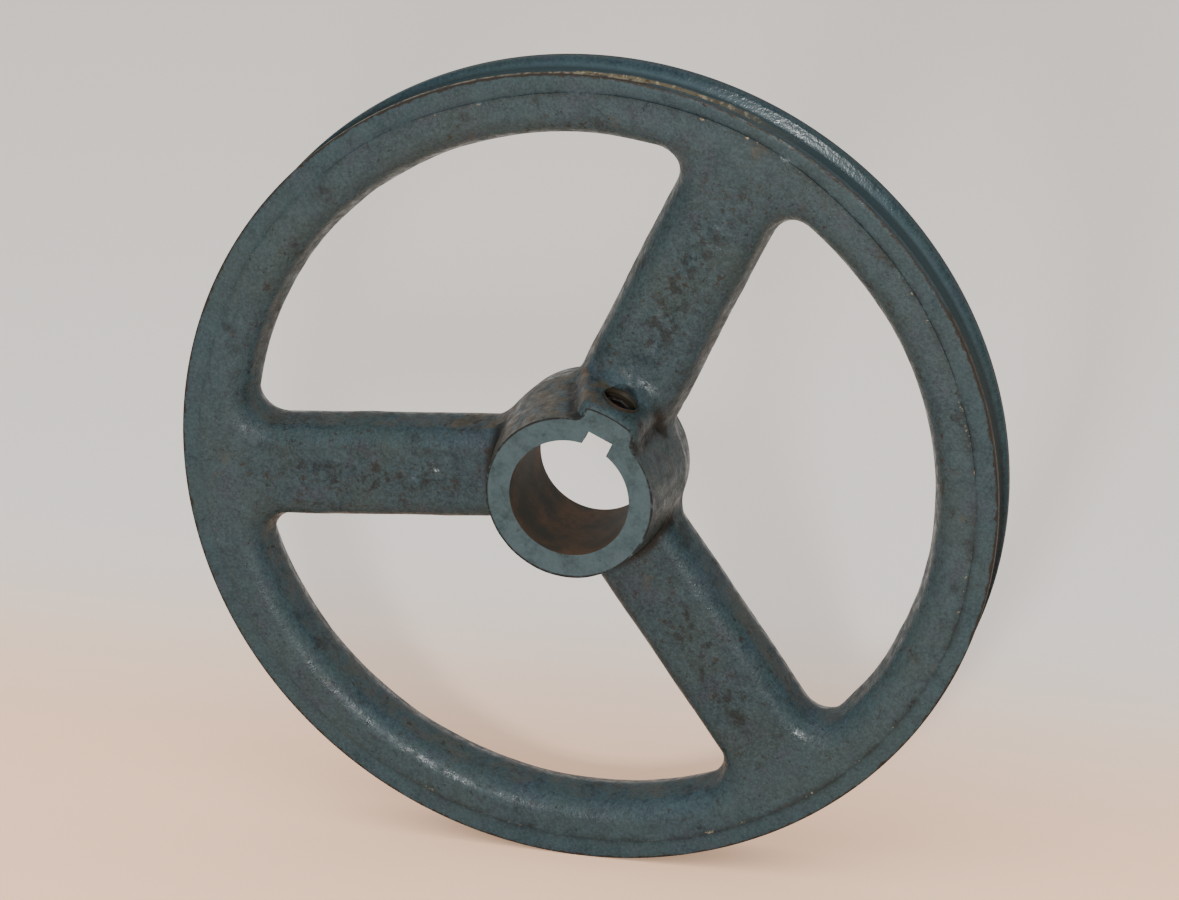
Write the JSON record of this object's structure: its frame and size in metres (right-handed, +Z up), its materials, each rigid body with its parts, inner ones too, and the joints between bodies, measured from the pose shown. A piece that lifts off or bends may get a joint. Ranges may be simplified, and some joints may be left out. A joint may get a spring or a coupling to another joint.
{
  "type": "v belt pulley",
  "caption": "Cast-iron V-belt pulley with a belt groove in its rim, wide flat arms, and a long keyed hub that a headless set screw fixes to the shaft.",
  "frame": {"origin": "on the shaft bore's axis, in the middle plane of the belt groove", "axes": "Y is the pulley's axis and the long side of the hub faces -Y; +Z is up; the first arm, the keyway and the set screw point 64.7 degrees up from +X"},
  "size_m": [0.1968, 0.0296, 0.1968],
  "materials": {
    "casting": "old blue-grey enamel over cast iron, satin, worn and rusty along its edges, bare rusty iron in the bore",
    "set_screw": "black-oxide steel with light rust"
  },
  "bodies": {
    "pulley": {"pulley_casting": "casting"},
    "set_screw": {"set_screw": "set_screw"}
  },
  "joints": [
    {"name": "set_screw_travel", "type": "slide", "parent": "pulley", "child": "set_screw", "axis": [-0.4274, 0, -0.9041], "range_m": [-0.006, 0.0032]}
  ]
}
